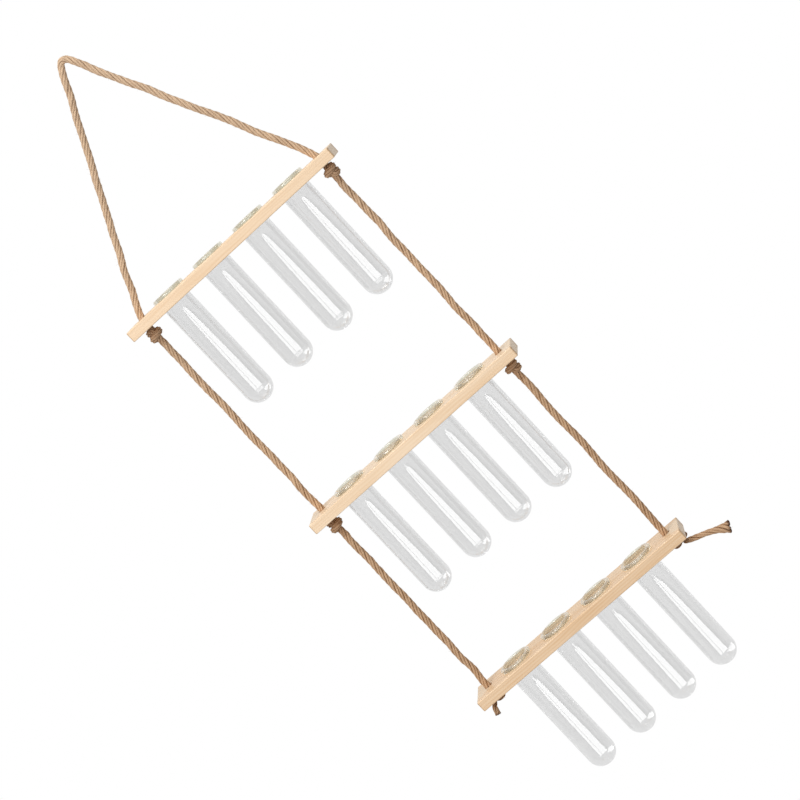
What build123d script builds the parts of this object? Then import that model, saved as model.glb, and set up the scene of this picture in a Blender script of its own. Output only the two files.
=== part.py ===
"""Hanging test tube vase: three wooden bars on one knotted jute rope, each bar carrying four lipped glass tubes.

Millimetres. X runs along the bars, -Y is the front and +Z is up. The origin is where the hook carries the rope:
the inside of the rope at the top of its loop.
"""
import os
from math import asin, atan2, cos, hypot, pi, radians, sin, tan

from build123d import *

# Rope: one length of jute cord over a hook, knotted under every bar
rope_diameter = 5.5
knot_strand_diameter = 3.7  # the same cord pulled thin inside a knot
end_knot_strand_diameter = 3.2  # pulled tighter in the last knots, under the bottom bar
hook_radius = 1.5  # the nail or thin hook that the loop is made for
bend_gap = 0.3  # between two stretches of rope, where the ladder hinges
knot_gap = 0.3  # between a knot and the bar that it carries
stub_gap = 0.6  # how far the full cord stops inside the bar, above the knot

# Wooden bars
bar_length = 210.0
bar_depth = 40.0
bar_thickness = 9.0
bar_edge_radius = 0.8
rope_hole_inset = 12.0  # from the bar's end to the middle of its rope hole
rope_hole_clearance = 0.5
hole_chamfer = 0.5

# Glass tubes
tube_count = 4
tube_diameter = 25.0
tube_wall = 1.2
tube_length = 114.0
tube_hole_clearance = 0.5
lip_diameter = 29.6
lip_height = 2.6  # how far the lip stands above the bar
lip_root_radius = 0.4
lip_edge_radius = 0.9
lip_crown_radius = 1.3
mouth_radius = 1.1

# Heights of the ladder
top_bar_drop = 180.0  # from the hook to the top face of the top bar
upper_spacing = 204.0  # top bar to middle bar
lower_spacing = 193.0  # middle bar to bottom bar

# Loose ends under the bottom bar
left_tail_length = 4.0
right_tail_run = 11.0  # out of the knot, and as far again to the middle of the tail
right_tail_reach = 22.0
right_tail_fall = 4.6
right_tail_end_fall = 10.4

# Half of an overhand knot round its own middle, in strand diameters: down in front, out to the side under the
# knot, and up into the wrap round both strands. The other half is this one turned half round about X.
knot_half_shares = [
    (0, 0, 3.4),
    (0, 0, 2.2),
    (-0.1, -0.6, 1.2),
    (-0.1, -0.6, -0.3),
    (0.4, -0.75, -1.3),
    (1.4, -0.3, -1.2),
    (1.35, 1.35, -0.7),
    (-0.45, 2.0, -0.45),
    (-1.45, 0.85, -0.15),
]
down_exit_shares = [(0, 0, -2.2), (0, 0, -2.8)]
knot_rise_share = 1.86  # the knot's top above its middle

# The last knots are overhand knots pulled up flat: seen from above, the cord swings in and out across a ring as it
# goes round it twice, over and under by turns, and both ends leave the ring on the same side. In strand diameters.
flat_ring_share = 1.44
flat_swing_share = 0.7
flat_rise_share = 0.67
flat_lobes = 3
flat_rounds = 2
flat_open_angle = 0.6  # radians left out at either end, where the cord comes in and goes out
flat_points = 17
flat_hole_shares = (2.2, 1.05)  # where the rope hole is from the ring's middle
flat_hole_run_share = 3.0
end_exit_shares = {
    "left": [(1.9, -1.1, -0.65), (2.3, -1.5, -0.95), (2.45, -1.75, -1.75)],
    "right": [(1.9, -1.1, -0.65), (2.4, -2.0, -0.8)],
}

bend_share = 0.45  # how much of the shorter run beside it a bend takes up
knot_samples = 260
same_strand_share = 1.8  # closer along the cord than this, two points are on the same stretch

rope_radius = rope_diameter / 2
tube_radius = tube_diameter / 2
tube_pitch = bar_length / (tube_count + 1)
tube_bore = tube_radius - tube_wall
rope_hole_x = bar_length / 2 - rope_hole_inset
bend_height = rope_radius + bend_gap  # a hinge line above the face that the rope goes into
knot_drop = knot_gap + knot_rise_share * knot_strand_diameter  # a knot's middle below its bar

tiers = ["top", "middle", "bottom"]
tier_tops = [-top_bar_drop, -top_bar_drop - upper_spacing, -top_bar_drop - upper_spacing - lower_spacing]
sides = {"left": -1, "right": 1}

os.makedirs("parts", exist_ok=True)


def save(part, name):
    part.label = name
    export_step(part, f"parts/{name}.step")


def bend_radii(points):
    """The largest radius that each corner of a route has room for."""
    radii = []
    for before, corner, after in zip(points, points[1:], points[2:]):
        inward = Vector(*corner) - Vector(*before)
        outward = Vector(*after) - Vector(*corner)
        half_turn = radians(inward.get_angle(outward)) / 2
        radii.append(bend_share * min(inward.length, outward.length) / tan(half_turn))
    return radii


def least_gap(path, diameter):
    """The narrowest space that a cord leaves to itself."""
    places = [path @ (i / knot_samples) for i in range(knot_samples + 1)]
    skip = int(same_strand_share * diameter / path.length * knot_samples)
    pairs = ((a, b) for i, a in enumerate(places) for b in places[i + skip:])
    return min((a - b).length for a, b in pairs) - diameter


def knot_route(x, top, side):
    """Points of the cord through one knot, from inside the bar to where the cord leaves the knot."""
    other_half = [(px, -py, -pz) for px, py, pz in reversed(knot_half_shares)]
    shares = knot_half_shares + other_half[:-len(down_exit_shares)] + down_exit_shares
    middle = top - bar_thickness - knot_drop
    scale = knot_strand_diameter
    return [(x + side * scale * px, side * scale * py, middle + scale * pz) for px, py, pz in shares]


def flat_knot_route(x, top, side, exit_shares):
    """Points of the cord through one of the last knots, which lies behind its rope hole."""
    ring = []
    for step in range(flat_points):
        angle = flat_open_angle + 2 * (pi - flat_open_angle) * step / (flat_points - 1)
        reach = flat_ring_share + flat_swing_share * cos(flat_lobes * angle)
        height = flat_rise_share * sin(flat_lobes * angle)
        ring.append((reach * cos(flat_rounds * angle), reach * sin(flat_rounds * angle), height))
    hole_x, hole_y = flat_hole_shares
    shares = [(hole_x, hole_y, flat_hole_run_share), (hole_x, hole_y, ring[0][2])] + ring + exit_shares
    scale = end_knot_strand_diameter
    middle = top - bar_thickness - knot_gap - flat_rise_share * scale - scale / 2
    return [(x + side * scale * (hole_y - py), scale * (hole_x - px), middle + scale * pz) for px, py, pz in shares]


# Bars: planks with eased edges, four tube holes and a rope hole near each end
for tier, top in zip(tiers, tier_tops):
    with BuildPart(Plane.XY.offset(top)) as bar:
        Box(bar_length, bar_depth, bar_thickness, align=(Align.CENTER, Align.CENTER, Align.MAX))
        fillet(bar.edges(), bar_edge_radius)
        with GridLocations(tube_pitch, tube_pitch, tube_count, 1):
            Hole(tube_radius + tube_hole_clearance)
        with Locations((-rope_hole_x, 0), (rope_hole_x, 0)):
            Hole(rope_radius + rope_hole_clearance)
        chamfer(bar.edges(Select.LAST).filter_by(GeomType.CIRCLE), hole_chamfer)
    save(bar.part, f"bar_{tier}")

# Tubes: one revolved wall each, round at the bottom, with a lip that rests flat on the bar
tip = lip_height - tube_length
lip_radius = lip_diameter / 2
for tier, top in zip(tiers, tier_tops):
    for number in range(tube_count):
        x = (number - (tube_count - 1) / 2) * tube_pitch
        with BuildPart() as tube:
            with BuildSketch(Plane(origin=(x, 0, top), x_dir=(1, 0, 0), z_dir=(0, -1, 0))):
                with BuildLine():
                    bottom = JernArc((0, tip), (1, 0), tube_radius, 90)
                    wall = Line(bottom @ 1, (tube_radius, -lip_root_radius))
                    root = JernArc(wall @ 1, (0, 1), lip_root_radius, -90)
                    seat = Line(root @ 1, (lip_radius - lip_edge_radius, 0))
                    edge = JernArc(seat @ 1, (1, 0), lip_edge_radius, 90)
                    rise = Line(edge @ 1, (lip_radius, lip_height - lip_crown_radius))
                    crown = JernArc(rise @ 1, (0, 1), lip_crown_radius, 90)
                    brim = Line(crown @ 1, (tube_bore + mouth_radius, lip_height))
                    mouth = JernArc(brim @ 1, (-1, 0), mouth_radius, 90)
                    bore = Line(mouth @ 1, (tube_bore, tip + tube_radius))
                    inside = JernArc(bore @ 1, (0, -1), tube_bore, -90)
                    Line(inside @ 1, bottom @ 0)
                make_face()
            revolve(axis=Axis((x, 0, top), (0, 0, 1)))
        save(tube.part, f"tube_{tier}_{number + 1}")

# Rope over the hook: two straight legs, tangent to the bend over the hook, down to the top bar's holes
loop_radius = hook_radius + rope_radius
leg_end = tier_tops[0] + bend_height
hook_height = -hook_radius - leg_end
leg_slant = atan2(rope_hole_x, hook_height) - asin(loop_radius / hypot(rope_hole_x, hook_height))
leg_meet = leg_end + rope_hole_x / tan(leg_slant)
with BuildPart() as hanger:
    with BuildLine() as hanger_line:
        FilletPolyline((-rope_hole_x, 0, leg_end), (0, 0, leg_meet), (rope_hole_x, 0, leg_end), radius=loop_radius)
    hanger_path = hanger_line.wire()
    with BuildSketch(Plane(origin=hanger_path @ 0, z_dir=hanger_path % 0)):
        Circle(rope_radius)
    sweep(path=hanger_path)
    with Locations((-rope_hole_x, 0, leg_end), (rope_hole_x, 0, leg_end)):
        Sphere(rope_radius)
save(hanger.part, "rope_hanger")
print("hanger rope", round(hanger_path.length, 1), "mm, bend radius", loop_radius)

# Taut rope between the bars: straight, with round ends where it hinges
exit_drop = bar_thickness + knot_drop - down_exit_shares[-1][2] * knot_strand_diameter + bend_height
for span, above, below in zip(["upper", "lower"], tier_tops, tier_tops[1:]):
    high = above - exit_drop
    low = below + bend_height
    for side, sign in sides.items():
        x = sign * rope_hole_x
        with BuildPart() as taut:
            with BuildSketch(Plane(origin=(x, 0, 0), x_dir=(1, 0, 0), z_dir=(0, -1, 0))):
                with BuildLine():
                    low_end = JernArc((0, low - rope_radius), (1, 0), rope_radius, 90)
                    flank = Line(low_end @ 1, (rope_radius, high))
                    high_end = JernArc(flank @ 1, (0, 1), rope_radius, 90)
                    Line(high_end @ 1, low_end @ 0)
                make_face()
            revolve(axis=Axis((x, 0, 0), (0, 0, 1)))
        save(taut.part, f"rope_{span}_{side}")
    print(span, "rope", round(high - low, 1), "mm between its bends")

# Knots: the cord through a bar's rope hole and the overhand knot that carries the bar
knot_ends = {}
for tier, top in zip(tiers, tier_tops):
    for side, sign in sides.items():
        x = sign * rope_hole_x
        strand = knot_strand_diameter
        route = knot_route(x, top, sign)
        if tier == tiers[-1]:
            strand = end_knot_strand_diameter
            route = flat_knot_route(x, top, sign, end_exit_shares[side])
        with BuildPart() as knot:
            with BuildLine() as knot_line:
                FilletPolyline(*route, radius=bend_radii(route))
            knot_path = knot_line.wire()
            with BuildSketch(Plane(origin=knot_path @ 0, z_dir=knot_path % 0)):
                Circle(strand / 2)
            sweep(path=knot_path)
            with Locations((x, 0, top)):
                Cylinder(rope_radius, bar_thickness - stub_gap, align=(Align.CENTER, Align.CENTER, Align.MAX))
        name = f"knot_{tier}_{side}"
        save(knot.part, name)
        knot_ends[name] = (knot_path @ 1, knot_path % 1)
        gap = least_gap(knot_path, strand)
        print(name, round(knot_path.length, 1), "mm of cord, least gap", round(gap, 2))
        print("    least bend radius", round(min(bend_radii(route)), 2))

# Tails: the cut ends of the rope, straight out of the bottom knots
start, heading = knot_ends["knot_bottom_left"]
with BuildPart() as left_tail:
    with BuildSketch(Plane(origin=start, z_dir=heading)):
        Circle(rope_radius)
    extrude(amount=left_tail_length)
save(left_tail.part, "tail_left")

start, heading = knot_ends["knot_bottom_right"]
corner = start + heading * right_tail_run
tail_route = [
    start,
    corner,
    corner + Vector(right_tail_run, 0, -right_tail_fall),
    corner + Vector(right_tail_reach, 0, -right_tail_end_fall),
]
with BuildPart() as right_tail:
    with BuildLine() as tail_line:
        FilletPolyline(*tail_route, radius=bend_radii([tuple(p) for p in tail_route]))
    tail_path = tail_line.wire()
    with BuildSketch(Plane(origin=tail_path @ 0, z_dir=tail_path % 0)):
        Circle(rope_radius)
    sweep(path=tail_path)
save(right_tail.part, "tail_right")
tail_radii = bend_radii([tuple(p) for p in tail_route])
print("tails", left_tail_length, round(tail_path.length, 1), "mm, radii", [round(r, 1) for r in tail_radii])
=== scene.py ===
"""Test tube vase: the looks of its wooden bars, its glass tubes and its one knotted jute rope.

Metres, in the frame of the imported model: X along the bars, -Y the front, +Z up, and the hook at the origin.
"""
import math
import random

import bpy
from bpy.props import FloatProperty, FloatVectorProperty, IntProperty, PointerProperty
from mathutils import Matrix, Vector


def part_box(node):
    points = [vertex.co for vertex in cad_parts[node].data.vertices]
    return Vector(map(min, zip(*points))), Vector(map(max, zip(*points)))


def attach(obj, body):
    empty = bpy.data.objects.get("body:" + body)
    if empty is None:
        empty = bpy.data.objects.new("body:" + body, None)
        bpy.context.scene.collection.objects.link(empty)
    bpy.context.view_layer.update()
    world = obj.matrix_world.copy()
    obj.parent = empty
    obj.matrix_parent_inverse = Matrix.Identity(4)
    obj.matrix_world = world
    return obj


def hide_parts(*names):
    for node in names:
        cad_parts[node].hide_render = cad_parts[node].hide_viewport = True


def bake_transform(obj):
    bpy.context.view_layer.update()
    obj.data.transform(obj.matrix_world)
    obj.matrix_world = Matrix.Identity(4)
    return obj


bl_info = {
    "name": "Test Tube Vase",
    "version": (1, 0, 0),
    "blender": (4, 5, 0),
    "location": "View3D > Sidebar > Vase",
    "description": "Dresses the hanging test tube vase: wood, glass, rope, light and camera",
    "category": "Object",
}

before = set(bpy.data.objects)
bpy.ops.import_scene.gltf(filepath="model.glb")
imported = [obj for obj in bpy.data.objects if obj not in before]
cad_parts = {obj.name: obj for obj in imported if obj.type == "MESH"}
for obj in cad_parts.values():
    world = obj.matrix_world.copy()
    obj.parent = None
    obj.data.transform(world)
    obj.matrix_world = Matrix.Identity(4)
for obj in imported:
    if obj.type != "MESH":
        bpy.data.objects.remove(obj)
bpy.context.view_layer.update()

TIERS = ("top", "middle", "bottom")
SIDES = {"left": -1, "right": 1}
SPANS = {"upper": ("top", "middle"), "lower": ("middle", "bottom")}
TUBE_NUMBERS = (1, 2, 3, 4)

BAR_UNDER = {tier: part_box(f"bar_{tier}")[0].z for tier in TIERS}
BAR_TOP = {tier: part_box(f"bar_{tier}")[1].z for tier in TIERS}
BAR_HALF_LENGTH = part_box("bar_top")[1].x
ROPE_X = sum(corner.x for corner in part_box("rope_upper_right")) / 2
TUBE_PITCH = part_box("tube_top_2")[0].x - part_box("tube_top_1")[0].x
ROW_HALF_LENGTH = TUBE_PITCH * len(TUBE_NUMBERS) / 2

# Wood. A band is the distance over which one look gives way to another.
SAWN_BAND = (0.0011, 0.0004)  # from a bar's end
TUBE_HOLE_BAND = (0.0129, 0.0134)  # from the middle of a tube hole
ROPE_HOLE_BAND = (0.0032, 0.0037)  # from the middle of a rope hole
HEARTS = {  # from the middle of a bar's top to the heart of its tree: across the bar and up
    "top": (0.034, -0.062),
    "middle": (-0.047, -0.055),
    "bottom": (0.022, -0.071),
}
RING_DRIFT = 0.012  # how far the rings wander
DRIFT_PACE = (6, 34, 34)  # noise for each metre along the bar, across it and up
FIBRE_PACE = (16, 620, 620)
PATCH_PACE = (9, 70, 70)
WOOD_RELIEF = 0.0003

# Glass
LIP_GAP = 0.00005  # between a lip and its bar, so that the two only touch
LIP_FLAT = 0.001  # level stretch under a lip, between its two radii
GLASS_BEND = 1.02  # hardly bends light, so that the thin walls show no dark edges
WALL_SHARES = (0.01, 0.3, 0.6, 0.9, 0.99, 1.0)  # rings of a straight wall, close to its ends and between
# Facets of a tube's round ends and edges
ARC_STEPS = {"outside": 20, "root": 4, "edge": 6, "crown": 8, "mouth": 8, "inside": 18}
OUTSIDE, INSIDE, LIP = range(3)  # the materials of a tube

# The rope's route, in the same points as the solids. A knot's points are in strand diameters round its
# middle: down in front, out to the side under the knot and up into the wrap. Its other half is turned half
# round about X.
KNOT_STRAND = 0.0026
KNOT_DROP = 0.0066
BEND_HEIGHT = 0.00305
KNOT_HALF_SHARES = [
    (0, 0, 3.4),
    (0, 0, 2.2),
    (-0.1, -0.6, 1.2),
    (-0.1, -0.6, -0.3),
    (0.4, -0.75, -1.3),
    (1.4, -0.3, -1.2),
    (1.35, 1.35, -0.7),
    (-0.45, 2.0, -0.45),
    (-1.45, 0.85, -0.15),
]
DOWN_EXIT_SHARES = [(0, 0, -2.2), (0, 0, -4.2)]

# The last knots lie flat under the bottom bar: the rope goes twice round a ring and swings to and fro on it.
END_STRAND = 0.0032
END_DROP = 0.004044
FLAT_RING = 1.44
FLAT_SWING = 0.7
FLAT_RISE = 0.67
FLAT_LOBES = 3
FLAT_ROUNDS = 2
FLAT_OPEN_ANGLE = 0.6
FLAT_POINTS = 17
FLAT_HOLE = (2.2, 1.05)
FLAT_HOLE_RUN = 3.0
END_EXIT_SHARES = {
    "left": [(1.9, -1.1, -0.65), (2.3, -1.5, -0.95), (2.45, -1.75, -1.75)],
    "right": [(1.9, -1.1, -0.65), (2.4, -2.0, -0.8)],
}
HOOK_CORNER = (0.00262, 0.00275)  # where the legs' lines meet the level stretch over the hook
HOOK_RUN = 0.009  # from that corner to the next point down the leg
LEFT_TAIL = 0.004
RIGHT_TAIL_RUN = 0.011
RIGHT_TAIL_FALLS = (0.0046, 0.0104)
SPLINE_ORDER = 3
SPLINE_STEPS = 16

# The rope along its route
ROPE_STEP = 0.0009
PATH_STRIDE = 4  # steps of the rope to one point of a stretch's path
HOLE_CUT = 0.001  # below a bar's top, where one stretch of rope ends in the hole and the next starts
KNOT_REACH = 0.0125  # from a knot's middle to where the rope is free of it
KNOT_FADE = 0.004
SWAY_PACES = (90, 320)  # radians of sway for each metre of rope
SWAY_WAVES = 3  # each way
CUT_FADE = 0.002  # rope over which the tone of a cut end fades
FLARE_RUN = 0.016  # rope over which the frayed end opens
FRAYED_GROWTH = 0.6  # how much thicker its yarns end

# Three strands of two yarns each: where the yarns stand round the rope, in turns, and sizes in its diameters.
STRANDS = 3
YARN_ASIDE = 0.075
YARN_TURNS = [strand / STRANDS + side for strand in range(STRANDS) for side in (-YARN_ASIDE, YARN_ASIDE)]
YARN_SHARE = 0.19
YARN_CHANGE = 0.035
YARN_RING = 0.305
YARN_PACES = (60, 420)  # radians of change for each metre of rope
YARN_WAVES = 4

# A loose fibre, in its own length.
FIBRE_CURVE = {"Start": (0, 0, -0.05), "Middle": (0.1, 0, 0.6), "End": (0.75, 0.15, 0.75)}
FIBRE_STEPS = 4
FIBRE_SIDES = 3
FIBRE_RADIUS = 0.018
FIBRE_LEAST = 0.3  # the shortest one, as a share of the longest
FIBRE_TILT = 0.5

# The jute's pattern: counts for each turn of the lay along the rope and for each round of a yarn.
JUTE_STRIPES = (4.0, 7)
JUTE_THREADS = (5.0, 24.0)
JUTE_THREAD_SLANT = 13.0
JUTE_BREAKS = (9.0, 3.0)
JUTE_PATCHES = 170.0  # for each metre
JUTE_RELIEF = 0.0004
PAINTED_LIGHT_HEIGHTS = (-0.42, -0.04)  # painted light: the rope is drawn paler upwards between these heights
SHADED_HEIGHTS = (-0.62, -0.3)  # and painted shade: darker downwards between these, where less light falls

# Stage
SQUARE = ((-1, -1), (1, -1), (1, 1), (-1, 1))
FLOOR_COLOUR = (0.85, 0.85, 0.85)
FLOOR_HALF_SIZE = (6.5, 6.5, 0)
CAMERA_REACH = 20.0
CARD_STEPS = 6
CARD_ROWS = (0.0, 0.01, 0.04, 0.1, 0.2, 0.35, 0.55, 0.8, 1.0)  # down a card, from its point
SLIT_SWELL = 0.1  # how the slit in a card widens downwards: 0 is not at all
FIRST_BOUNCE = 1.5  # rays of a lesser depth have met one surface at most
# Grey flags beside a card: from and to, in half widths of the card, and how bright.
FLAGS = ((-1.9, -1.4, 0.75), (-1.4, -1.0, 0.5), (1.0, 1.4, 0.05), (1.4, 1.8, 0.4), (1.8, 2.2, 0.7))


class RopeSettings(bpy.types.PropertyGroup):
    """Sizes and colours of the jute rope."""

    diameter: FloatProperty(
        name="Diameter", description="Of the rope pulled taut", default=0.0055, unit="LENGTH")
    bulk: FloatProperty(
        name="Bulk", description="Across the crowns of its strands", default=0.0059, unit="LENGTH")
    knot_diameter: FloatProperty(
        name="Knot diameter", description="The rope inside a knot", default=0.0058, unit="LENGTH")
    end_knot_diameter: FloatProperty(
        name="End knot diameter", description="The rope inside the flat last knots",
        default=0.0042, unit="LENGTH")
    tail_diameter: FloatProperty(
        name="Tail diameter", description="The rope below the bottom bar", default=0.0049, unit="LENGTH")
    lay: FloatProperty(
        name="Lay", description="Rope length of one full turn", default=0.033, unit="LENGTH")
    sway: FloatProperty(
        name="Sway", description="How far the taut rope wanders from straight", default=0.0002, unit="LENGTH")
    strand_sides: IntProperty(
        name="Strand sides", description="Sides round each yarn", default=10)
    flare: FloatProperty(
        name="Flare", description="How far the yarns open at the frayed end", default=0.0023, unit="LENGTH")
    fibres: FloatProperty(
        name="Fibres", description="Loose fibres for each square metre of rope", default=30000.0)
    fibre_length: FloatProperty(
        name="Fibre length", description="Of the longest loose fibre", default=0.0023, unit="LENGTH")
    light: FloatVectorProperty(
        name="Light", description="Crowns of the strands", default=(0.78, 0.52, 0.32), subtype="COLOR")
    # The rope's own darker fibres, and painted shade in its grooves, in the knots and low down.
    dark_and_painted_shade: FloatVectorProperty(
        name="Dark", description="Grooves between the strands", default=(0.25, 0.11, 0.042), subtype="COLOR")
    # Painted light: the rope is drawn paler near the hook, where more light falls.
    painted_light_above: FloatVectorProperty(
        name="Faded", description="Bleached rope near the hook", default=(0.80, 0.66, 0.50), subtype="COLOR")
    cut: FloatVectorProperty(
        name="Cut", description="Cut ends", default=(0.07, 0.028, 0.022), subtype="COLOR")
    seed: IntProperty(
        name="Seed", description="Of everything uneven in the rope", default=7)


class GlassSettings(bpy.types.PropertyGroup):
    """Sizes and colours of the glass tubes."""

    diameter: FloatProperty(
        name="Diameter", description="Outside, below the lip", default=0.025, unit="LENGTH")
    wall: FloatProperty(
        name="Wall", description="Thickness of the glass", default=0.0012, unit="LENGTH")
    lip_height: FloatProperty(
        name="Lip height", description="Above the bar", default=0.0031, unit="LENGTH")
    lip_root: FloatProperty(
        name="Lip root", description="Radius under the lip", default=0.0004, unit="LENGTH")
    lip_edge: FloatProperty(
        name="Lip edge", description="Radius of the lip's lower edge", default=0.0009, unit="LENGTH")
    lip_crown: FloatProperty(
        name="Lip crown", description="Radius of its upper edge", default=0.0014, unit="LENGTH")
    mouth: FloatProperty(
        name="Mouth", description="Radius of the mouth's edge", default=0.0011, unit="LENGTH")
    sides: IntProperty(
        name="Sides", description="Faces round a tube", default=96)
    tint: FloatVectorProperty(
        name="Tint", description="Outside of the glass", default=(0.70, 0.70, 0.70), subtype="COLOR")
    inner_tint: FloatVectorProperty(
        name="Inner tint", description="Inside of the glass", default=(0.95, 0.95, 0.95), subtype="COLOR")
    inner_alpha: FloatProperty(
        name="Inner alpha", description="How much the inside of the glass shows",
        default=0.1, subtype="FACTOR")
    lip_tint: FloatVectorProperty(
        name="Lip tint", description="Glass of the lip", default=(0.72, 0.70, 0.60), subtype="COLOR")
    lip_clear: FloatProperty(
        name="Lip clear", description="How clear the lip is", default=0.9, subtype="FACTOR")
    gloss: FloatProperty(
        name="Gloss", description="How strongly the outside mirrors, as an IOR", default=1.9)


class WoodSettings(bpy.types.PropertyGroup):
    """Colours and grain of the wooden bars."""

    top_pale: FloatVectorProperty(
        name="Top pale", description="Early wood of the top bar",
        default=(0.90, 0.675, 0.455), subtype="COLOR")
    top_grain: FloatVectorProperty(
        name="Top grain", description="Late wood of the top bar",
        default=(0.82, 0.565, 0.34), subtype="COLOR")
    # Painted light: the middle bar's tones are drawn lighter than the top bar's, where less of the key light
    # falls on it.
    middle_pale_painted_light: FloatVectorProperty(
        name="Middle pale", description="Early wood of the middle bar",
        default=(0.965, 0.75, 0.53), subtype="COLOR")
    middle_grain_painted_light: FloatVectorProperty(
        name="Middle grain", description="Late wood of the middle bar",
        default=(0.88, 0.63, 0.40), subtype="COLOR")
    # The bottom bar's tones are warmer, as its wood is, and darker as painted shade, where less light falls
    # low down.
    bottom_pale_and_painted_shade: FloatVectorProperty(
        name="Bottom pale", description="Early wood of the bottom bar",
        default=(0.91, 0.67, 0.445), subtype="COLOR")
    bottom_grain_and_painted_shade: FloatVectorProperty(
        name="Bottom grain", description="Late wood of the bottom bar",
        default=(0.80, 0.515, 0.28), subtype="COLOR")
    end_grain: FloatVectorProperty(
        name="End grain", description="Sawn ends", default=(0.52, 0.32, 0.15), subtype="COLOR")
    # Painted light: the walls of the holes are drawn light, against the shade inside them.
    drilled_painted_light: FloatVectorProperty(
        name="Drilled", description="Walls of the holes", default=(0.86, 0.68, 0.48), subtype="COLOR")
    ring: FloatProperty(
        name="Ring", description="Width of a year's growth", default=0.0021, unit="LENGTH")


class StageSettings(bpy.types.PropertyGroup):
    """Camera and light."""

    distance: FloatProperty(
        name="Distance", description="Camera to the vase", default=1.8, unit="LENGTH")
    azimuth: FloatProperty(
        name="Azimuth", description="Camera to the right of the front",
        default=math.radians(10), subtype="ANGLE")
    elevation: FloatProperty(
        name="Elevation", description="Camera above the level", default=math.radians(6.8), subtype="ANGLE")
    roll: FloatProperty(
        name="Roll", description="How far the picture is turned",
        default=math.radians(43.05), subtype="ANGLE")
    lens: FloatProperty(
        name="Lens", description="Focal length in millimetres", default=105.0, unit="CAMERA")
    aim: FloatVectorProperty(
        name="Aim", description="Point in the middle of the picture",
        default=(0.0116, 0, -0.3606), subtype="XYZ")
    ambient: FloatProperty(
        name="Ambient", description="Light from all round", default=0.45)
    key: FloatProperty(
        name="Key", description="Watts of the front softbox", default=15.0, unit="POWER")
    key_place: FloatVectorProperty(
        name="Key place", description="Front softbox from the aim", default=(-0.55, -1.6, 0.6), subtype="XYZ")
    key_size: FloatVectorProperty(
        name="Key size", description="Of the front softbox", default=(0.9, 0.6), size=2, unit="LENGTH")
    overhead: FloatProperty(
        name="Overhead", description="Watts of the softbox above", default=18.0, unit="POWER")
    overhead_place: FloatVectorProperty(
        name="Overhead place", description="Softbox above from the aim",
        default=(0.2, -0.4, 2.0), subtype="XYZ")
    overhead_size: FloatVectorProperty(
        name="Overhead size", description="Of the softbox above", default=(1.5, 1.5), size=2, unit="LENGTH")
    floor: FloatProperty(
        name="Floor", description="Height of the floor", default=-2.6, unit="LENGTH")
    card_distance: FloatProperty(
        name="Card distance", description="From the vase to the lit cards", default=1.9, unit="LENGTH")
    card_azimuth: FloatProperty(
        name="Card azimuth", description="Cards to the right of the front",
        default=math.radians(14), subtype="ANGLE")
    card_half_angle: FloatProperty(
        name="Card half angle", description="Of a card where the tubes' straight walls end",
        default=math.radians(34), subtype="ANGLE")
    card_swell: FloatProperty(
        name="Card swell", description="How a card widens downwards: 1 is straight, less is round",
        default=0.25)
    card_split: FloatProperty(
        name="Card split", description="Where the slit in a card is, from -1 to 1", default=-0.36)
    card_slit: FloatProperty(
        name="Card slit", description="Half the width of the slit",
        default=math.radians(2.0), subtype="ANGLE")
    card_excess: FloatProperty(
        name="Card excess", description="How far down the cards go, in straight walls", default=1.5)
    card_light: FloatProperty(
        name="Card light", description="How bright the cards are", default=3.6)
    streak_start: FloatProperty(
        name="Streak start", description="From a bar down to where the mirrored card starts",
        default=0.0055, unit="LENGTH")
    glint_place: FloatVectorProperty(
        name="Glint place", description="Middle of the low card at the right",
        default=(1.35, -0.15, -1.3), subtype="XYZ")
    glint_half_size: FloatVectorProperty(
        name="Glint half size", description="Of the low card at the right",
        default=(0.75, 0.75, 0), subtype="XYZ")


class Value:
    """A shader socket that can be written in sums."""

    def __init__(self, recipe, socket):
        self.recipe = recipe
        self.socket = socket

    def maths(self, operation, *values):
        inputs = dict(enumerate(values))
        return self.recipe.node("ShaderNodeMath", {"operation": operation}, inputs)

    def __add__(self, other):
        return self.maths("ADD", self, other)

    def __radd__(self, other):
        return self.maths("ADD", other, self)

    def __sub__(self, other):
        return self.maths("SUBTRACT", self, other)

    def __rsub__(self, other):
        return self.maths("SUBTRACT", other, self)

    def __mul__(self, other):
        return self.maths("MULTIPLY", self, other)

    def __rmul__(self, other):
        return self.maths("MULTIPLY", other, self)

    def __mod__(self, other):
        return self.maths("FLOORED_MODULO", self, other)

    def __lt__(self, other):
        return self.maths("LESS_THAN", self, other)

    def __abs__(self):
        return self.maths("ABSOLUTE", self)

    def root(self):
        return self.maths("SQRT", self)

    def wave(self):
        """A sine from 0 to 1, one period for each unit."""
        return self.maths("SINE", self * math.tau) * 0.5 + 0.5

    def within(self, low, high):
        """0 at low and 1 at high, smooth between them."""
        settings = {"interpolation_type": "SMOOTHSTEP"}
        inputs = {"Value": self, "From Min": low, "From Max": high}
        return self.recipe.node("ShaderNodeMapRange", settings, inputs)

    def mix(self, start, end):
        """A colour between two others."""
        inputs = {0: self, 6: start, 7: end}
        return self.recipe.node("ShaderNodeMix", {"data_type": "RGBA"}, inputs, 2)


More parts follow.
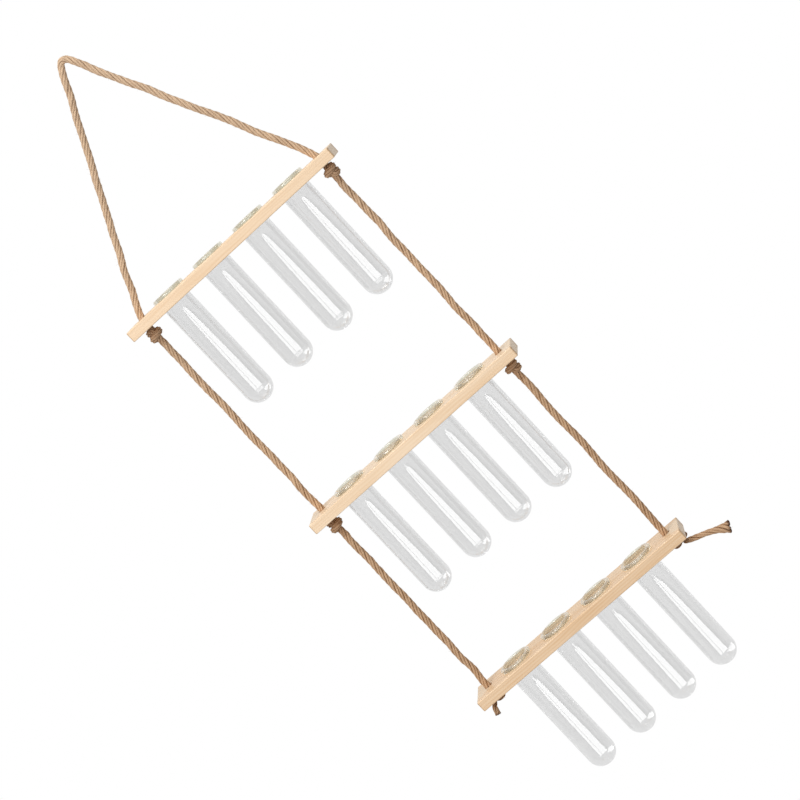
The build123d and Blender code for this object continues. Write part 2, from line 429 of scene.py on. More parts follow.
class Recipe:
    """A node tree for a surface or the world, built one node at a time."""

    def __init__(self, owner):
        owner.use_nodes = True
        self.tree = owner.node_tree
        self.tree.nodes.clear()

    def node(self, kind, settings=None, inputs=None, output=0):
        made = self.tree.nodes.new(kind)
        for name, setting in (settings or {}).items():
            setattr(made, name, setting)
        for name, value in (inputs or {}).items():
            socket = made.inputs[name]
            if isinstance(value, Value):
                self.tree.links.new(value.socket, socket)
            elif hasattr(socket.default_value, "__len__") and len(socket.default_value) == 4:
                socket.default_value = (*value[:3], 1)
            else:
                socket.default_value = value
        if not made.outputs:
            return made
        return Value(self, made.outputs[output])

    def place(self):
        """Where a point is on its own object."""
        return self.node("ShaderNodeTexCoord", output="Object")

    def attribute(self, name):
        return self.node("ShaderNodeAttribute", {"attribute_name": name}, None, "Fac")

    def rays(self):
        """What the ray being traced is, by the names of the Light Path node."""
        outputs = self.node("ShaderNodeLightPath").socket.node.outputs
        return {output.name: Value(self, output) for output in outputs}

    def flat(self, x, y):
        return self.node("ShaderNodeCombineXYZ", None, {0: x, 1: y})

    def split(self, vector):
        made = self.node("ShaderNodeSeparateXYZ", None, {0: vector})
        return [Value(self, output) for output in made.socket.node.outputs]

    def noise(self, vector, scale=1.0, detail=3.0):
        inputs = {"Vector": vector, "Scale": scale, "Detail": detail}
        return self.node("ShaderNodeTexNoise", None, inputs)

    def stretch(self, vector, factors):
        return self.node("ShaderNodeVectorMath", {"operation": "MULTIPLY"}, {0: vector, 1: factors})

    def bump(self, height, strength, distance):
        inputs = {"Height": height, "Strength": strength, "Distance": distance}
        return self.node("ShaderNodeBump", None, inputs)

    def surface(self, inputs):
        self.show(self.node("ShaderNodeBsdfPrincipled", None, inputs))

    def choose(self, factor, shader, other, output="ShaderNodeOutputMaterial"):
        """Show one shader where the factor is 0 and the other where it is 1."""
        self.show(self.node("ShaderNodeMixShader", None, {0: factor, 1: shader, 2: other}), output)

    def show(self, shader, output="ShaderNodeOutputMaterial"):
        self.node(output, None, {"Surface": shader})


def new_material(name):
    material = bpy.data.materials.new(name)
    return material, Recipe(material)


def wood_material(name, pale, grain, wood, heart):
    """Pale wood with rings round a heart line along X, fibres along X, darker ends, and hole walls in one
    light tone, painted light against the shade inside the holes.
    """
    material, recipe = new_material(name)
    place = recipe.place()
    x, y, z = recipe.split(place)
    drift = recipe.noise(recipe.stretch(place, DRIFT_PACE), detail=4.0) - 0.5
    across = y - heart[0]
    above = z - heart[1]
    radius = (across * across + above * above).root() + drift * RING_DRIFT
    rings = (radius * (1 / wood.ring)).wave()
    fibre = recipe.noise(recipe.stretch(place, FIBRE_PACE))
    patch = recipe.noise(recipe.stretch(place, PATCH_PACE), detail=2.0)
    late = rings * 0.3 + fibre.within(0.3, 0.75) * 0.35 + patch.within(0.35, 0.7) * 0.4
    ends = abs(x).within(*[BAR_HALF_LENGTH - distance for distance in SAWN_BAND])
    hole_x = (x + ROW_HALF_LENGTH) % TUBE_PITCH - TUBE_PITCH / 2
    tube_hole = 1 - (hole_x * hole_x + y * y).root().within(*TUBE_HOLE_BAND)
    rope_x = abs(x) - ROPE_X
    rope_hole = 1 - (rope_x * rope_x + y * y).root().within(*ROPE_HOLE_BAND)
    colour = late.within(0.1, 1.0).mix(pale, grain)
    colour = (ends * 0.75).mix(colour, wood.end_grain)
    # painted light: the hole walls take a light plain tone against the shade inside them
    colour = ((tube_hole + rope_hole) * 0.8).mix(colour, wood.drilled_painted_light)
    height = fibre * 0.6 + rings * 0.25
    recipe.surface({
        "Base Color": colour,
        "Roughness": fibre * 0.12 + 0.38,
        "Specular IOR Level": 0.5,
        "Normal": recipe.bump(height, 0.12, WOOD_RELIEF),
    })
    return material


def glass_material(name, tint, gloss, clear=1.0, coat=1.0, alpha=1.0):
    """Clear glass that mirrors where it has a coat."""
    material, recipe = new_material(name)
    recipe.surface({
        "Base Color": tint,
        "Roughness": 0.0,
        "IOR": GLASS_BEND,
        "Transmission Weight": clear,
        "Coat Weight": coat,
        "Coat IOR": gloss,
        "Coat Roughness": 0.0,
        "Alpha": alpha,
    })
    return material


def rope_material(name, rope):
    """Twisted jute: pale crowns, brown grooves of painted shade, fine threads across each yarn and darker
    knots, partly painted shade.
    """
    material, recipe = new_material(name)
    run, turn, _ = recipe.split(recipe.node("ShaderNodeUVMap"))
    place = recipe.place()
    height = recipe.split(place)[2]
    # 1 on each yarn's outer side and 0 on its side towards the rope's middle: the dark grooves this leaves
    # are painted shade
    crown = (turn + 0.25).wave()
    stripes = (turn * JUTE_STRIPES[1] - run * JUTE_STRIPES[0]).wave()
    slanted = turn * JUTE_THREADS[1] - run * JUTE_THREAD_SLANT
    thread = recipe.noise(recipe.flat(run * JUTE_THREADS[0], slanted), 1.6)
    broken = recipe.noise(recipe.flat(run * JUTE_BREAKS[0], turn * JUTE_BREAKS[1]), 1.3, 2.0)
    patch = recipe.noise(place, JUTE_PATCHES)
    pale = crown.within(0.55, 0.98) * 0.5 + broken.within(0.35, 0.7) * 0.25 + stripes * 0.1
    pale = pale + thread.within(0.3, 0.75) * 0.22 + patch * 0.25
    tone = pale.within(0.1, 1.1)
    # painted light: paler upwards
    painted_light_above = height.within(*PAINTED_LIGHT_HEIGHTS)
    # painted shade: darker downwards
    shaded = 1 - height.within(*SHADED_HEIGHTS)
    colour = tone.mix(rope.dark_and_painted_shade, rope.light)
    colour = (painted_light_above * 0.3).mix(colour, rope.painted_light_above)
    # the knots darkened, partly as painted shade under the bars and partly for their tight rope
    colour = (recipe.attribute("tight") * 0.4 + shaded * 0.15).mix(colour, rope.dark_and_painted_shade)
    colour = (recipe.attribute("cut") * 0.8).mix(colour, rope.cut)
    relief = stripes * 0.5 + thread * 0.7
    recipe.surface({
        "Base Color": colour,
        "Roughness": 0.95 - tone * 0.15,
        "Specular IOR Level": 0.2,
        "Normal": recipe.bump(relief, 0.7, JUTE_RELIEF),
    })
    return material


def new_piece(name, vertices, faces):
    mesh = bpy.data.meshes.new(name)
    mesh.from_pydata(vertices, [], faces)
    mesh.polygons.foreach_set("use_smooth", [True] * len(mesh.polygons))
    mesh.update()
    piece = bpy.data.objects.new(name, mesh)
    bpy.context.scene.collection.objects.link(piece)
    return piece


def level_sheet(name, middle, half_size):
    """A flat rectangle that faces up."""
    corners = [Vector(middle) + Vector((x, y, 0)) * Vector(half_size) for x, y in SQUARE]
    return new_piece(name, corners, [(0, 1, 2, 3)])


def arc(centre, radius, start, end, steps):
    """Points of a circle's arc, angles in degrees, without its first point."""
    points = []
    for step in range(1, steps + 1):
        angle = math.radians(start + (end - start) * step / steps)
        points.append((centre[0] + radius * math.cos(angle), centre[1] + radius * math.sin(angle)))
    return points


def tube_profile(glass, tip):
    """Radius and height above the bar, from the outside of the tip up over the lip and down to its inside."""
    outer = glass.diameter / 2
    bore = outer - glass.wall
    lip = outer + glass.lip_root + glass.lip_edge + LIP_FLAT
    round_z = tip + outer
    root = (outer + glass.lip_root, -glass.lip_root)
    edge = (lip - glass.lip_edge, glass.lip_edge)
    crown = (lip - glass.lip_crown, glass.lip_height - glass.lip_crown)
    mouth = (bore + glass.mouth, glass.lip_height - glass.mouth)
    points = [(0, tip)]
    points += arc((0, round_z), outer, -90, 0, ARC_STEPS["outside"])
    points += [(outer, round_z + (-glass.lip_root - round_z) * share) for share in WALL_SHARES]
    points += arc(root, glass.lip_root, 180, 90, ARC_STEPS["root"])
    points += [(edge[0], 0)]
    points += arc(edge, glass.lip_edge, -90, 0, ARC_STEPS["edge"])
    points += [(lip, crown[1])]
    points += arc(crown, glass.lip_crown, 0, 90, ARC_STEPS["crown"])
    points += [(mouth[0], glass.lip_height)]
    points += arc(mouth, glass.mouth, 90, 180, ARC_STEPS["mouth"])
    points += [(bore, round_z * share) for share in WALL_SHARES]
    points += arc((0, round_z), bore, 0, -90, ARC_STEPS["inside"])
    return points


def lathe(name, profile, place, sides):
    """A closed mesh turned round a vertical axis through place. The profile starts and ends on the axis."""
    rings = profile[1:-1]
    vertices = [place + Vector((0, 0, profile[0][1]))]
    for radius, height in rings:
        for side in range(sides):
            angle = math.tau * side / sides
            vertices.append(place + Vector((radius * math.cos(angle), radius * math.sin(angle), height)))
    vertices.append(place + Vector((0, 0, profile[-1][1])))
    last = len(vertices) - 1
    faces = []
    for side in range(sides):
        after = (side + 1) % sides
        faces.append((0, 1 + after, 1 + side))
        for ring in range(len(rings) - 1):
            low = 1 + ring * sides
            faces.append((low + side, low + after, low + sides + after, low + sides + side))
        top = 1 + (len(rings) - 1) * sides
        faces.append((top + side, top + after, last))
    return new_piece(name, vertices, faces)


def knot_middle(tier, side):
    """The middle of a knot. The last ones lie behind their rope holes."""
    x = SIDES[side] * ROPE_X
    if tier != TIERS[-1]:
        return Vector((x, 0, BAR_UNDER[tier] - KNOT_DROP))
    beside = END_STRAND * Vector((SIDES[side] * FLAT_HOLE[1], FLAT_HOLE[0], 0))
    return Vector((x, 0, BAR_UNDER[tier] - END_DROP)) + beside


def knot_points(tier, side):
    """The route through one knot, from inside the bar to where the rope leaves the knot."""
    sign = SIDES[side]
    other_half = [(x, -y, -z) for x, y, z in reversed(KNOT_HALF_SHARES)]
    shares = KNOT_HALF_SHARES + other_half[:-len(DOWN_EXIT_SHARES)] + DOWN_EXIT_SHARES
    middle = knot_middle(tier, side)
    return [middle + KNOT_STRAND * Vector((sign * x, sign * y, z)) for x, y, z in shares]


def flat_knot_points(tier, side):
    """The route through one of the last knots, from its rope hole round the ring and out again."""
    sign = SIDES[side]
    ring = []
    for step in range(FLAT_POINTS):
        angle = FLAT_OPEN_ANGLE + 2 * (math.pi - FLAT_OPEN_ANGLE) * step / (FLAT_POINTS - 1)
        reach = FLAT_RING + FLAT_SWING * math.cos(FLAT_LOBES * angle)
        height = FLAT_RISE * math.sin(FLAT_LOBES * angle)
        ring.append((reach * math.cos(FLAT_ROUNDS * angle), reach * math.sin(FLAT_ROUNDS * angle), height))
    shares = [(*FLAT_HOLE, FLAT_HOLE_RUN), (*FLAT_HOLE, ring[0][2])] + ring + END_EXIT_SHARES[side]
    hole = Vector((sign * ROPE_X, 0, BAR_UNDER[tier] - END_DROP))
    places = []
    for x, y, z in shares:
        places.append(hole + END_STRAND * Vector((sign * (FLAT_HOLE[1] - y), FLAT_HOLE[0] - x, z)))
    return places


def tail_points(side, route):
    """The loose end that follows a bottom knot."""
    heading = (route[-1] - route[-2]).normalized()
    if side == "left":
        return [route[-1] + heading * LEFT_TAIL]
    corner = route[-1] + heading * RIGHT_TAIL_RUN
    points = [corner]
    for run, fall in enumerate(RIGHT_TAIL_FALLS, 1):
        points.append(corner + Vector((RIGHT_TAIL_RUN * run, 0, -fall)))
    return points


def side_route(side):
    """One side of the rope, from above the top bar to its loose end, and the places where its pieces meet."""
    route = []
    cuts = {}
    x = SIDES[side] * ROPE_X
    for tier in TIERS:
        route.append(Vector((x, 0, BAR_TOP[tier] + BEND_HEIGHT)))
        route += flat_knot_points(tier, side) if tier == TIERS[-1] else knot_points(tier, side)
        cuts["hole", tier] = Vector((x, 0, BAR_TOP[tier] - HOLE_CUT))
        cuts["exit", tier] = route[-1]
    for above, below in SPANS.values():
        cuts["half", above] = Vector((x, 0, (BAR_UNDER[above] + BAR_TOP[below]) / 2))
    return route + tail_points(side, route), cuts


def hook_route():
    """The rope over the hook, between its two legs."""
    route = []
    for sign in SIDES.values():
        corner = Vector((sign * HOOK_CORNER[0], 0, HOOK_CORNER[1]))
        leg = (Vector((sign * ROPE_X, 0, BAR_TOP["top"] + BEND_HEIGHT)) - corner).normalized()
        route += [corner + leg * HOOK_RUN, corner][::-sign]
    return route


def spline_line(route):
    """The smooth line of a route: points of a NURBS spline that has the route as its control points."""
    curve = bpy.data.curves.new("route", "CURVE")
    curve.dimensions = "3D"
    curve.resolution_u = SPLINE_STEPS
    spline = curve.splines.new("NURBS")
    spline.points.add(len(route) - 1)
    for point, place in zip(spline.points, route):
        point.co = (*place, 1)
    spline.order_u = SPLINE_ORDER
    spline.use_endpoint_u = True
    carrier = bpy.data.objects.new("route", curve)
    bpy.context.scene.collection.objects.link(carrier)
    evaluated = carrier.evaluated_get(bpy.context.evaluated_depsgraph_get())
    mesh = bpy.data.meshes.new_from_object(evaluated)
    line = [vertex.co.copy() for vertex in mesh.vertices]
    bpy.data.objects.remove(carrier)
    bpy.data.curves.remove(curve)
    bpy.data.meshes.remove(mesh)
    return line


def even_line(line, step):
    """The same line in even steps."""
    places = [line[0].copy()]
    left = step
    for start, end in zip(line, line[1:]):
        run = (end - start).length
        done = 0.0
        while run - done >= left:
            done += left
            places.append(start.lerp(end, done / run))
            left = step
        left -= run - done
    return places


def draw_waves(chance, paces, count):
    """Waves of random pace and start."""
    return [(chance.uniform(*paces), chance.uniform(0, math.tau)) for _ in range(count)]


def heights_of(waves, run):
    """How high each wave is after a run of rope."""
    return [math.sin(run * pace + phase) for pace, phase in waves]


class RopeLine:
    """The whole rope: its middle line in even steps, a frame at every step and how tight it is there."""

    def __init__(self, rope):
        self.rope = rope
        left, left_cuts = side_route("left")
        right, right_cuts = side_route("right")
        self.places = even_line(spline_line(left[::-1] + hook_route() + right), ROPE_STEP)
        self.ends = {"left": 0, "right": len(self.places) - 1}
        self.cuts = {}
        for side, cuts in (("left", left_cuts), ("right", right_cuts)):
            self.cuts[side] = {cut: self.nearest(place) for cut, place in cuts.items()}
        self.knots = [knot_middle(tier, side) for side in SIDES for tier in TIERS]
        self.frames = self.carry_frames()
        self.tight = [self.tightness(place) for place in self.places]
        self.sizes = [self.size(place, tight) for place, tight in zip(self.places, self.tight)]
        self.wander()

    def nearest(self, place):
        return min(range(len(self.places)), key=lambda i: (self.places[i] - place).length_squared)

    def heading(self, i):
        return (self.places[min(i + 1, len(self.places) - 1)] - self.places[max(i - 1, 0)]).normalized()

    def carry_frames(self):
        """Two directions square to the rope at every step, carried along it without twisting."""
        across = self.heading(0).orthogonal().normalized()
        frames = []
        for i in range(len(self.places)):
            along = self.heading(i)
            across = (across - along * across.dot(along)).normalized()
            frames.append((across.copy(), along.cross(across)))
        return frames

    def tightness(self, place):
        """1 inside a knot and 0 clear of it."""
        away = min((place - knot).length for knot in self.knots)
        share = min(max((KNOT_REACH - away) / KNOT_FADE, 0), 1)
        return share * share * (3 - 2 * share)

    def size(self, place, tight):
        """The rope's diameter, which changes in a knot and is less under the bottom bar."""
        free = self.rope.bulk
        inside = self.rope.knot_diameter
        if place.z < BAR_UNDER[TIERS[-1]]:
            free = self.rope.tail_diameter
            inside = self.rope.end_knot_diameter
        return free + (inside - free) * tight

    def wander(self):
        """Sway the rope a little from its line wherever no knot holds it."""
        waves = draw_waves(random.Random(self.rope.seed), SWAY_PACES, 2 * SWAY_WAVES)
        for i, (across, aside) in enumerate(self.frames):
            sways = heights_of(waves, i * ROPE_STEP)
            free = self.rope.sway * (1 - self.tight[i])
            self.places[i] += (across * sum(sways[:SWAY_WAVES]) + aside * sum(sways[SWAY_WAVES:])) * free

    def length(self, first, last):
        return sum((a - b).length for a, b in zip(self.places[first:last], self.places[first + 1:last + 1]))


def yarn_course(line, first, last, start, waves, frayed):
    """One yarn along the rope: its middle, the way out from the rope's line and its radius, at every step."""
    rope = line.rope
    course = []
    for i in range(first, last + 1):
        across, aside = line.frames[i]
        angle = math.tau * (i * ROPE_STEP / rope.lay + start)
        outward = across * math.cos(angle) + aside * math.sin(angle)
        size = line.sizes[i]
        wave = sum(heights_of(waves, i * ROPE_STEP)) / YARN_WAVES
        radius = size * (YARN_SHARE + YARN_CHANGE * wave)
        offset = size * YARN_RING
        if frayed is not None:
            opened = max(0.0, 1 - abs(frayed - i) * ROPE_STEP / FLARE_RUN)
            offset += rope.flare * opened * opened
            radius *= 1 + FRAYED_GROWTH * opened
        course.append((line.places[i] + outward * offset, outward, radius))
    return course


def yarn_rings(course, sides):
    """The rings of corners round a yarn's course."""
    corners = []
    for n, (middle, outward, radius) in enumerate(course):
        before = course[max(n - 1, 0)][0]
        after = course[min(n + 1, len(course) - 1)][0]
        along = (after - before).normalized()
        out = (outward - along * outward.dot(along)).normalized()
        aside = along.cross(out)
        for side in range(sides):
            angle = math.tau * side / sides
            corners.append(middle + (out * math.cos(angle) + aside * math.sin(angle)) * radius)
    return corners


def yarn_faces(base, first, last, rope):
    """The faces of a yarn whose first corner is base, and where their corners lie on the rope's UV map."""
    sides = rope.strand_sides
    faces = []
    flat_places = []
    rise = ROPE_STEP / rope.lay
    step = 1 / sides
    for n in range(last - first):
        low = base + n * sides
        run = (first + n) * ROPE_STEP / rope.lay
        for side in range(sides):
            after = (side + 1) % sides
            turn = side / sides
            faces.append((low + side, low + after, low + sides + after, low + sides + side))
            flat_places += [(run, turn), (run, turn + step), (run + rise, turn + step), (run + rise, turn)]
    start = list(range(base, base + sides))
    end = [corner + (last - first) * sides for corner in start]
    faces += [start[::-1], end]
    flat_places += [(0.0, 0.5)] * (2 * sides)
    return faces, flat_places


def strand_mesh(name, line, first, last, frayed=None):
    """Three strands of two yarns between two steps of the rope. frayed is the step of an open end, if any."""
    rope = line.rope
    sides = rope.strand_sides
    chance = random.Random(rope.seed)
    waves = [draw_waves(chance, YARN_PACES, YARN_WAVES) for _ in YARN_TURNS]
    vertices = []
    faces = []
    flat_places = []
    for start, yarn_waves in zip(YARN_TURNS, waves):
        more_faces, more_places = yarn_faces(len(vertices), first, last, rope)
        faces += more_faces
        flat_places += more_places
        vertices += yarn_rings(yarn_course(line, first, last, start, yarn_waves, frayed), sides)
    tight = []
    cut = []
    for i in range(first, last + 1):
        to_end = min(i, len(line.places) - 1 - i) * ROPE_STEP
        tight += [line.tight[i]] * sides
        cut += [max(0.0, 1 - to_end / CUT_FADE)] * sides
    piece = new_piece(name, vertices, faces)
    layer = piece.data.uv_layers.new(name="UVMap")
    layer.data.foreach_set("uv", [c for place in flat_places for c in place])
    for key, values in (("tight", tight), ("cut", cut)):
        attribute = piece.data.attributes.new(key, "FLOAT", "POINT")
        attribute.data.foreach_set("value", values * len(YARN_TURNS))
    return piece


def fibre_tree(rope, material):
    """Geometry nodes that scatter loose fibres over a rope, each a thin hair with a bend in it."""
    tree = bpy.data.node_groups.new("loose_fibres", "GeometryNodeTree")
    tree.interface.new_socket("Geometry", in_out="INPUT", socket_type="NodeSocketGeometry")
    density = tree.interface.new_socket("Density", in_out="INPUT", socket_type="NodeSocketFloat")
    length = tree.interface.new_socket("Length", in_out="INPUT", socket_type="NodeSocketFloat")
    tree.interface.new_socket("Geometry", in_out="OUTPUT", socket_type="NodeSocketGeometry")

    def node(kind, inputs=None, **settings):
        made = tree.nodes.new(kind)
        for name, setting in settings.items():
            setattr(made, name, setting)
        for name, value in (inputs or {}).items():
            if isinstance(value, bpy.types.NodeSocket):
                tree.links.new(value, made.inputs[name])
            else:
                made.inputs[name].default_value = value
        return made

    given = node("NodeGroupInput")
    hair = node("GeometryNodeCurveQuadraticBezier", {"Resolution": FIBRE_STEPS, **FIBRE_CURVE})
    ring = node("GeometryNodeCurvePrimitiveCircle", {"Resolution": FIBRE_SIDES, "Radius": FIBRE_RADIUS})
    fibre = node("GeometryNodeCurveToMesh", {"Curve": hair.outputs[0], "Profile Curve": ring.outputs[0]})
    scatter = node("GeometryNodeDistributePointsOnFaces", {
        "Mesh": given.outputs["Geometry"], "Density": given.outputs["Density"], "Seed": rope.seed})
    turn = node("FunctionNodeRandomValue", {
        "Min": (-FIBRE_TILT, -FIBRE_TILT, 0.0), "Max": (FIBRE_TILT, FIBRE_TILT, math.tau)},
        data_type="FLOAT_VECTOR")
    tilt = node("FunctionNodeRotateRotation", {
        "Rotation": scatter.outputs["Rotation"], "Rotate By": turn.outputs[0]}, rotation_space="LOCAL")
    size = node("FunctionNodeRandomValue", {2: FIBRE_LEAST, 3: 1.0}, data_type="FLOAT")
    scale = node("ShaderNodeMath", {0: size.outputs[1], 1: given.outputs["Length"]}, operation="MULTIPLY")
    place = node("GeometryNodeInstanceOnPoints", {
        "Points": scatter.outputs["Points"], "Instance": fibre.outputs[0], "Rotation": tilt.outputs[0],
        "Scale": scale.outputs[0]})
    real = node("GeometryNodeRealizeInstances", {"Geometry": place.outputs[0]})
    both = node("GeometryNodeJoinGeometry")
    tree.links.new(real.outputs[0], both.inputs[0])
    tree.links.new(given.outputs["Geometry"], both.inputs[0])
    finish = node("GeometryNodeSetMaterial", {"Geometry": both.outputs[0], "Material": material})
    end = node("NodeGroupOutput")
    tree.links.new(finish.outputs[0], end.inputs[0])
    return tree, density.identifier, length.identifier


def add_fibres(piece, rope, material):
    """Scatter fibres over a rope piece and keep the result as its plain mesh."""
    tree, density, length = fibre_tree(rope, material)
    modifier = piece.modifiers.new("fibres", "NODES")
    modifier.node_group = tree
    modifier[density] = rope.fibres
    modifier[length] = rope.fibre_length
    evaluated = piece.evaluated_get(bpy.context.evaluated_depsgraph_get())
    dressed = bpy.data.meshes.new_from_object(evaluated)
    piece.modifiers.remove(modifier)
    bare = piece.data
    piece.data = dressed
    dressed.name = piece.name
    bpy.data.meshes.remove(bare)
    bpy.data.node_groups.remove(tree)


def rope_piece(name, line, ends, node, material, frayed=None):
    """A finished stretch of rope between two of its steps, which stands for its solid."""
    piece = strand_mesh(name, line, min(ends), max(ends), frayed)
    add_fibres(piece, line.rope, material)
    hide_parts(node)
    return piece


def declare_rope(line, ends):
    """Reckon a stretch's path, every PATH_STRIDE-th step from its lower-numbered step and its last, and its
    length, but keep neither.
    """
    path = line.places[min(ends):max(ends) + 1]
    line.length(min(ends), max(ends))
    path[::PATH_STRIDE] + [path[-1]]


class VASE_OT_bars(bpy.types.Operator):
    """Give the three bars their wood"""

    bl_idname = "vase.bars"
    bl_label = "Wooden Bars"

    def execute(self, context):
        wood = context.scene.vase_wood
        tones = {
            "top": (wood.top_pale, wood.top_grain),
            # painted light in the middle bar's tones
            "middle": (wood.middle_pale_painted_light, wood.middle_grain_painted_light),
            # painted shade in the bottom bar's tones, with its own warmer wood
            "bottom": (wood.bottom_pale_and_painted_shade, wood.bottom_grain_and_painted_shade),
        }
        for tier, (pale, grain) in tones.items():
            heart = (HEARTS[tier][0], BAR_TOP[tier] + HEARTS[tier][1])
            material = wood_material(f"wood_{tier}", pale, grain, wood, heart)
            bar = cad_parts[f"bar_{tier}"]
            bar.data.materials.clear()
            bar.data.materials.append(material)
        return {"FINISHED"}


class VASE_OT_tubes(bpy.types.Operator):
    """Turn the glass tubes, smooth and lipped"""

    bl_idname = "vase.tubes"
    bl_label = "Glass Tubes"

    def execute(self, context):
        glass = context.scene.vase_glass
        kinds = (
            glass_material("glass", glass.tint, glass.gloss),
            glass_material("glass_inside", glass.inner_tint, glass.gloss, coat=0.0, alpha=glass.inner_alpha),
            glass_material("glass_lip", glass.lip_tint, glass.gloss, clear=glass.lip_clear),
        )
        for tier in TIERS:
            for number in TUBE_NUMBERS:
                node = f"tube_{tier}_{number}"
                low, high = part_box(node)
                profile = tube_profile(glass, low.z - BAR_TOP[tier])
                place = Vector(((low.x + high.x) / 2, (low.y + high.y) / 2, BAR_TOP[tier] + LIP_GAP))
                tube = lathe(f"glass_{tier}_{number}", profile, place, glass.sides)
                for material in kinds:
                    tube.data.materials.append(material)
                for face in tube.data.polygons:
                    facing_in = face.normal.dot(face.center - place) < 0
                    face.material_index = INSIDE if facing_in else OUTSIDE
                    if face.center.z > BAR_TOP[tier]:
                        face.material_index = LIP
                tube.visible_shadow = False
                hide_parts(node)
                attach(tube, f"{tier}_tube_{number}")
        return {"FINISHED"}


class VASE_OT_rope(bpy.types.Operator):
    """Lay the jute rope: over the hook, down both sides, through every bar and knot, to its two loose ends"""

    bl_idname = "vase.rope"
    bl_label = "Knotted Rope"

    def execute(self, context):
        line = RopeLine(context.scene.vase_rope)
        material = rope_material("jute", line.rope)
        self.hanger(line, material)
        for side in SIDES:
            for tier in TIERS:
                self.knot(line, material, side, tier)
            for span in SPANS:
                self.span(line, material, side, span)
            self.tail(line, material, side)
        return {"FINISHED"}

    def hanger(self, line, material):
        ends = [line.cuts[side]["hole", "top"] for side in SIDES]
        hanger = rope_piece("jute_over_hook", line, ends, "rope_hanger", material)
        declare_rope(line, ends)
        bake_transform(hanger)

    def knot(self, line, material, side, tier):
        node = f"knot_{tier}_{side}"
        ends = (line.cuts[side]["hole", tier], line.cuts[side]["exit", tier])
        knot = rope_piece(f"jute_{node}", line, ends, node, material)
        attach(knot, f"{tier}_bar")

    def span(self, line, material, side, span):
        """A span in two halves, split halfway between the bars."""
        above, below = SPANS[span]
        node = f"rope_{span}_{side}"
        leaves = line.cuts[side]["exit", above]
        half = line.cuts[side]["half", above]
        enters = line.cuts[side]["hole", below]
        upper = rope_piece(f"jute_{span}_{side}_a", line, (leaves, half), node, material)
        declare_rope(line, (leaves, half))
        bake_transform(upper)
        lower = rope_piece(f"jute_{span}_{side}_b", line, (half, enters), node, material)
        declare_rope(line, (half, enters))
        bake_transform(lower)

    def tail(self, line, material, side):
        """A loose end. The right one is long and frayed, the left one a stub."""
        end = line.ends[side]
        ends = (line.cuts[side]["exit", "bottom"], end)
        frayed = end if side == "right" else None
        tail = rope_piece(f"jute_tail_{side}", line, ends, f"tail_{side}", material, frayed)
        if side == "right":
            declare_rope(line, ends)
        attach(tail, "bottom_bar")


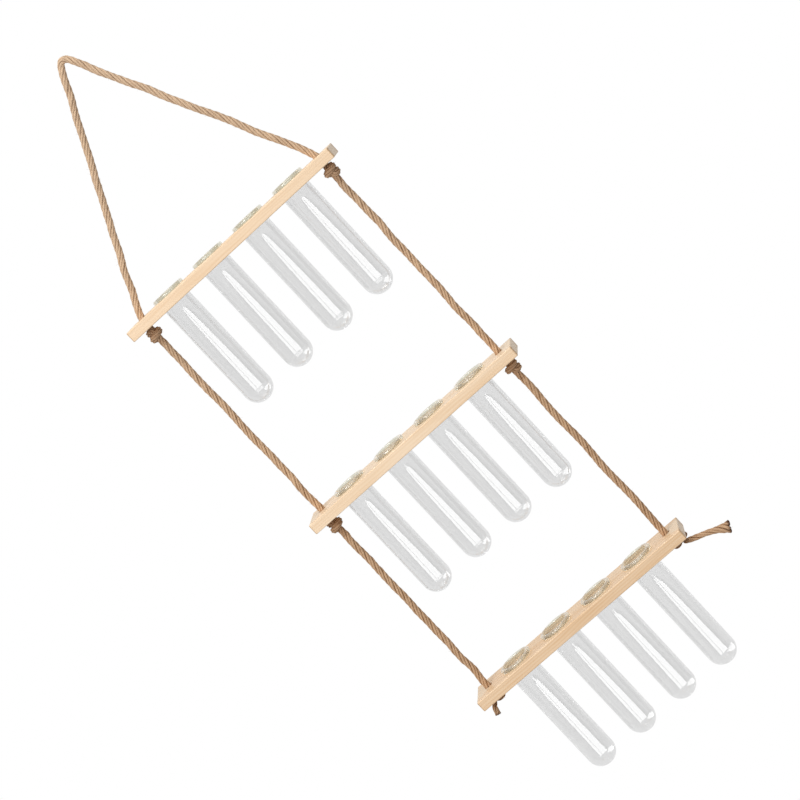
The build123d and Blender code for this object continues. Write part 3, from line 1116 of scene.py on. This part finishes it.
class VASE_OT_stage(bpy.types.Operator):
    """Set up the camera, the softboxes and the white surroundings"""

    bl_idname = "vase.stage"
    bl_label = "Stage"

    def execute(self, context):
        scene = context.scene
        stage = scene.vase_stage
        scene.view_settings.view_transform = "Standard"
        self.surroundings(scene, stage)
        aim = Vector(stage.aim)
        self.softbox("key_softbox", stage.key_place, aim, stage.key_size, stage.key)
        self.softbox("overhead_softbox", stage.overhead_place, aim, stage.overhead_size, stage.overhead)
        eye = self.camera(scene, stage, aim)
        self.cards(scene, stage, eye)
        self.floor(stage)
        return {"FINISHED"}

    def cards(self, scene, stage, eye):
        """A lit card with grey flags for each row of tubes, low in front, and one card for their glints."""
        lit = self.card_material("lit_card", stage.card_light)
        flags = [self.card_material(f"flag_{n}", light) for n, (_, _, light) in enumerate(FLAGS)]
        steepness = stage.card_distance / eye.xy.length
        for tier in TIERS:
            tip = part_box(f"tube_{tier}_1")[0].z
            heights = (BAR_UNDER[tier] - stage.streak_start, tip + scene.vase_glass.diameter / 2)
            high, low = [height - (eye.z - height) * steepness for height in heights]
            card = self.card(f"card_{tier}", stage, high, low, (lit, *flags))
        glint = level_sheet("card_glint", stage.glint_place, stage.glint_half_size)
        glint.data.materials.append(lit)

    def card(self, name, stage, high, low, materials):
        """Two lit strips with a slit between them and the flags at their sides, bent round the vase."""
        strips = [(-1, stage.card_split, 0, -stage.card_slit), (stage.card_split, 1, stage.card_slit, 0)]
        strips += [(first, last, 0, 0) for first, last, _ in FLAGS]
        corners = []
        faces = []
        kinds = []
        for strip, (first, last, first_gap, last_gap) in enumerate(strips):
            for row, share in enumerate(CARD_ROWS):
                down = share * stage.card_excess
                half = stage.card_half_angle * down ** stage.card_swell
                left = first * half + first_gap * down ** SLIT_SWELL
                right = last * half + last_gap * down ** SLIT_SWELL
                for step in range(CARD_STEPS + 1):
                    turn = left + (right - left) * step / CARD_STEPS
                    corners.append(self.around(stage, turn, high + (low - high) * down))
                    if row and step:
                        here = len(corners) - 1
                        above = here - CARD_STEPS - 1
                        faces.append((above - 1, above, here, here - 1))
                        kinds.append(max(0, strip - 1))
        card = new_piece(name, corners, faces)
        for material in materials:
            card.data.materials.append(material)
        card.data.polygons.foreach_set("material_index", kinds)
        return card

    def around(self, stage, turn, height):
        """A place on the cards' circle, turned from their middle."""
        azimuth = stage.card_azimuth + turn
        reach = stage.card_distance
        return Vector((math.sin(azimuth) * reach, -math.cos(azimuth) * reach, height))

    def card_material(self, name, light):
        """Seen only where a surface mirrors it directly, so that it lights nothing else."""
        material, recipe = new_material(name)
        rays = recipe.rays()
        mirrored = rays["Is Singular Ray"] * (rays["Ray Depth"] < FIRST_BOUNCE)
        clear = recipe.node("ShaderNodeBsdfTransparent")
        glow = recipe.node("ShaderNodeEmission", None, {"Color": (1, 1, 1), "Strength": light})
        recipe.choose(mirrored, clear, glow)
        material.cycles.emission_sampling = "NONE"
        return material

    def floor(self, stage):
        """A plain pale floor, as white as the surroundings where it is seen."""
        material, recipe = new_material("pale_floor")
        matte = recipe.node("ShaderNodeBsdfDiffuse", None, {"Color": FLOOR_COLOUR})
        white = recipe.node("ShaderNodeEmission", None, {"Color": (1, 1, 1), "Strength": 1.0})
        recipe.choose(self.seen(recipe), matte, white)
        ground = level_sheet("floor", (0, 0, stage.floor), FLOOR_HALF_SIZE)
        ground.data.materials.append(material)

    def seen(self, recipe):
        """1 where a thing is seen, directly or in gloss and glass, and 0 where it only gives light."""
        rays = recipe.rays()
        return rays["Is Camera Ray"] + rays["Is Glossy Ray"] + rays["Is Transmission Ray"]

    def surroundings(self, scene, stage):
        """White where they are seen, and a plain level of light for everything else."""
        world = bpy.data.worlds.new("surroundings")
        scene.world = world
        recipe = Recipe(world)
        white = recipe.node("ShaderNodeBackground", None, {"Color": (1, 1, 1), "Strength": 1.0})
        light = recipe.node("ShaderNodeBackground", None, {"Color": (1, 1, 1), "Strength": stage.ambient})
        recipe.choose(self.seen(recipe), light, white, "ShaderNodeOutputWorld")

    def softbox(self, name, offset, aim, size, power):
        """A rectangular light at an offset from the aim, turned towards it."""
        data = bpy.data.lights.new(name, "AREA")
        data.shape = "RECTANGLE"
        data.size, data.size_y = size
        data.energy = power
        light = bpy.data.objects.new(name, data)
        light.visible_transmission = False
        light.location = aim + Vector(offset)
        light.rotation_mode = "QUATERNION"
        light.rotation_quaternion = (aim - light.location).to_track_quat("-Z", "Y")
        bpy.context.scene.collection.objects.link(light)

    def camera(self, scene, stage, aim):
        """The camera, turned about its own line of sight, and where it stands."""
        data = bpy.data.cameras.new("camera")
        data.lens = stage.lens
        data.clip_end = CAMERA_REACH
        back = Vector((
            math.sin(stage.azimuth) * math.cos(stage.elevation),
            -math.cos(stage.azimuth) * math.cos(stage.elevation),
            math.sin(stage.elevation),
        ))
        right = Vector((0, 0, 1)).cross(back).normalized()
        up = back.cross(right)
        turned_right = right * math.cos(stage.roll) - up * math.sin(stage.roll)
        turned_up = right * math.sin(stage.roll) + up * math.cos(stage.roll)
        camera = bpy.data.objects.new("camera", data)
        camera.matrix_world = Matrix.Translation(aim + back * stage.distance) @ Matrix(
            (turned_right, turned_up, back)).transposed().to_4x4()
        scene.collection.objects.link(camera)
        scene.camera = camera
        return camera.matrix_world.translation


class VASE_PT_panel(bpy.types.Panel):
    """The vase's pieces, in the order in which they are made"""

    bl_idname = "VASE_PT_panel"
    bl_label = "Test Tube Vase"
    bl_space_type = "VIEW_3D"
    bl_region_type = "UI"
    bl_category = "Vase"

    def draw(self, context):
        for operator in OPERATORS:
            self.layout.operator(operator.bl_idname)


OPERATORS = (VASE_OT_bars, VASE_OT_tubes, VASE_OT_rope, VASE_OT_stage)
SETTINGS = {
    "vase_rope": RopeSettings,
    "vase_glass": GlassSettings,
    "vase_wood": WoodSettings,
    "vase_stage": StageSettings,
}


def register():
    for kind in (*SETTINGS.values(), *OPERATORS, VASE_PT_panel):
        bpy.utils.register_class(kind)
    for name, kind in SETTINGS.items():
        setattr(bpy.types.Scene, name, PointerProperty(type=kind))


def unregister():
    for name in SETTINGS:
        delattr(bpy.types.Scene, name)
    for kind in (VASE_PT_panel, *reversed(OPERATORS), *reversed(SETTINGS.values())):
        bpy.utils.unregister_class(kind)


def main():
    register()
    bpy.ops.vase.bars()
    bpy.ops.vase.tubes()
    bpy.ops.vase.rope()
    bpy.ops.vase.stage()


if __name__ == "__main__":
    main()
